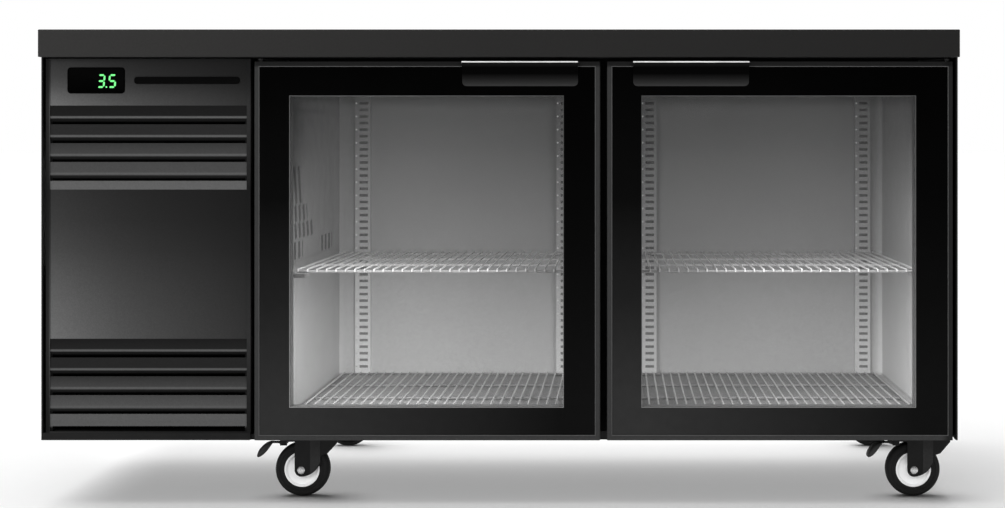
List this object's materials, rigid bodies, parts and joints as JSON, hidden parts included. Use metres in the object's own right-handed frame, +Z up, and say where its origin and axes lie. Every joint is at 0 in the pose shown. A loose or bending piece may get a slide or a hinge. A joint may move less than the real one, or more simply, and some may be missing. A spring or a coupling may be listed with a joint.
{
  "type": "undercounter refrigerator",
  "caption": "Black glass-door undercounter refrigerator with flat worktop, louvred machine compartment at one end, wire shelves and swivel castors.",
  "frame": {"origin": "on the floor under the middle of the worktop", "axes": "+X to the right seen from the front, +Y to the back, +Z up"},
  "size_m": [1.682, 0.7, 0.87],
  "materials": {
    "worktop_coat": "satin powder coat",
    "core_board": "honeycomb core",
    "body_coat": "satin powder coat",
    "foam": "rigid foam",
    "liner_grey": "stucco sheet",
    "frame_black": "satin",
    "bracket_steel": "satin",
    "pilaster_grey": "satin",
    "clip_steel": "satin",
    "cover_grey": "satin",
    "fin_aluminium": "fins",
    "motor_black": "satin",
    "fan_plastic": "satin",
    "compressor_black": "gloss enamel",
    "grommet_rubber": "matte",
    "tray_steel": "galvanised",
    "pipe_copper": "drawn tube",
    "box_plastic": "moulded",
    "panel_coat": "satin powder coat",
    "louvre_coat": "satin powder coat",
    "display_gloss": "gloss",
    "castor_black": "gloss enamel",
    "bolt_steel": "zinc plated",
    "door_frame_black": "satin extrusion",
    "door_glass": "clear with black border",
    "inner_glass": "clear",
    "spacer_black": "matte",
    "gasket_rubber": "soft",
    "handle_anodised": "black anodised",
    "shelf_wire": "plated wire",
    "hub_nylon": "nylon",
    "tyre_rubber": "matte",
    "pedal_plastic": "moulded"
  },
  "bodies": {
    "cabinet": {"worktop": "worktop_coat", "worktop_core": "core_board", "cabinet_shell": "body_coat", "base_pan": "body_coat", "insulation_foam": "foam", "inner_liner": "liner_grey", "front_frame": "frame_black", "hinge_brackets": "bracket_steel", "shelf_pilasters": "pilaster_grey", "shelf_clips": "clip_steel", "evaporator_cover": "cover_grey", "evaporator_coil": "fin_aluminium", "evaporator_fan_motor": "motor_black", "compressor": "compressor_black", "compressor_grommets": "grommet_rubber", "condenser_coil": "fin_aluminium", "condenser_shroud": "tray_steel", "condenser_fan_motor": "motor_black", "machine_tray": "tray_steel", "evaporating_tray": "tray_steel", "refrigerant_pipes": "pipe_copper", "control_box": "box_plastic", "power_inlet": "box_plastic", "service_panel": "panel_coat", "louvre_inserts": "louvre_coat", "display_module": "display_gloss", "castor_plates": "castor_black", "castor_bolts": "bolt_steel"},
    "evaporator_fan": {"evaporator_fan": "fan_plastic"},
    "condenser_fan": {"condenser_fan": "fan_plastic"},
    "left_door": {"left_door_frame": "door_frame_black", "left_outer_glass": "door_glass", "left_inner_glass": "inner_glass", "left_glass_spacer": "spacer_black", "left_door_gasket": "gasket_rubber", "left_door_handle": "handle_anodised"},
    "right_door": {"right_door_frame": "door_frame_black", "right_outer_glass": "door_glass", "right_inner_glass": "inner_glass", "right_glass_spacer": "spacer_black", "right_door_gasket": "gasket_rubber", "right_door_handle": "handle_anodised"},
    "left_lower_shelf": {"left_lower_shelf": "shelf_wire"},
    "left_middle_shelf": {"left_middle_shelf": "shelf_wire"},
    "right_lower_shelf": {"right_lower_shelf": "shelf_wire"},
    "right_middle_shelf": {"right_middle_shelf": "shelf_wire"},
    "left_front_castor": {"left_front_fork": "castor_black"},
    "left_front_wheel": {"left_front_hub": "hub_nylon", "left_front_tyre": "tyre_rubber"},
    "left_front_brake": {"left_front_brake_pedal": "pedal_plastic"},
    "left_rear_castor": {"left_rear_fork": "castor_black"},
    "left_rear_wheel": {"left_rear_hub": "hub_nylon", "left_rear_tyre": "tyre_rubber"},
    "right_front_castor": {"right_front_fork": "castor_black"},
    "right_front_wheel": {"right_front_hub": "hub_nylon", "right_front_tyre": "tyre_rubber"},
    "right_front_brake": {"right_front_brake_pedal": "pedal_plastic"},
    "right_rear_castor": {"right_rear_fork": "castor_black"},
    "right_rear_wheel": {"right_rear_hub": "hub_nylon", "right_rear_tyre": "tyre_rubber"}
  },
  "joints": [
    {"name": "left_door_hinge", "type": "hinge", "parent": "cabinet", "child": "left_door", "pos_m": [-0.4395, -0.324, 0.467], "axis": [0, 0, -1], "range_deg": [0, 105]},
    {"name": "right_door_hinge", "type": "hinge", "parent": "cabinet", "child": "right_door", "pos_m": [0.821, -0.324, 0.467], "axis": [0, 0, 1], "range_deg": [0, 105]},
    {"name": "left_lower_shelf_lift", "type": "slide", "parent": "cabinet", "child": "left_lower_shelf", "axis": [0, 0, 1], "range_m": [0, 0.06]},
    {"name": "left_middle_shelf_lift", "type": "slide", "parent": "cabinet", "child": "left_middle_shelf", "axis": [0, 0, 1], "range_m": [0, 0.06]},
    {"name": "right_lower_shelf_lift", "type": "slide", "parent": "cabinet", "child": "right_lower_shelf", "axis": [0, 0, 1], "range_m": [0, 0.06]},
    {"name": "right_middle_shelf_lift", "type": "slide", "parent": "cabinet", "child": "right_middle_shelf", "axis": [0, 0, 1], "range_m": [0, 0.06]},
    {"name": "evaporator_fan_spin", "type": "hinge", "parent": "cabinet", "child": "evaporator_fan", "pos_m": [-0.425, -0.14, 0.545], "axis": [1, 0, 0], "continuous": true},
    {"name": "condenser_fan_spin", "type": "hinge", "parent": "cabinet", "child": "condenser_fan", "pos_m": [-0.677, -0.212, 0.29], "axis": [0, 1, 0], "continuous": true},
    {"name": "left_front_castor_swivel", "type": "hinge", "parent": "cabinet", "child": "left_front_castor", "pos_m": [-0.3495, -0.254, 0.114], "axis": [0, 0, 1], "continuous": true},
    {"name": "left_front_wheel_spin", "type": "hinge", "parent": "left_front_castor", "child": "left_front_wheel", "pos_m": [-0.3755, -0.254, 0.051], "axis": [0, 1, 0], "continuous": true},
    {"name": "left_front_brake_press", "type": "hinge", "parent": "left_front_castor", "child": "left_front_brake", "pos_m": [-0.4095, -0.254, 0.101], "axis": [0, -1, 0], "range_deg": [0, 14]},
    {"name": "left_rear_castor_swivel", "type": "hinge", "parent": "cabinet", "child": "left_rear_castor", "pos_m": [-0.3495, 0.254, 0.114], "axis": [0, 0, 1], "continuous": true},
    {"name": "left_rear_wheel_spin", "type": "hinge", "parent": "left_rear_castor", "child": "left_rear_wheel", "pos_m": [-0.3755, 0.254, 0.051], "axis": [0, 1, 0], "continuous": true},
    {"name": "right_front_castor_swivel", "type": "hinge", "parent": "cabinet", "child": "right_front_castor", "pos_m": [0.797, -0.254, 0.114], "axis": [0, 0, 1], "continuous": true},
    {"name": "right_front_wheel_spin", "type": "hinge", "parent": "right_front_castor", "child": "right_front_wheel", "pos_m": [0.771, -0.254, 0.051], "axis": [0, 1, 0], "continuous": true},
    {"name": "right_front_brake_press", "type": "hinge", "parent": "right_front_castor", "child": "right_front_brake", "pos_m": [0.737, -0.254, 0.101], "axis": [0, -1, 0], "range_deg": [0, 14]},
    {"name": "right_rear_castor_swivel", "type": "hinge", "parent": "cabinet", "child": "right_rear_castor", "pos_m": [0.797, 0.254, 0.114], "axis": [0, 0, 1], "continuous": true},
    {"name": "right_rear_wheel_spin", "type": "hinge", "parent": "right_rear_castor", "child": "right_rear_wheel", "pos_m": [0.771, 0.254, 0.051], "axis": [0, 1, 0], "continuous": true}
  ]
}
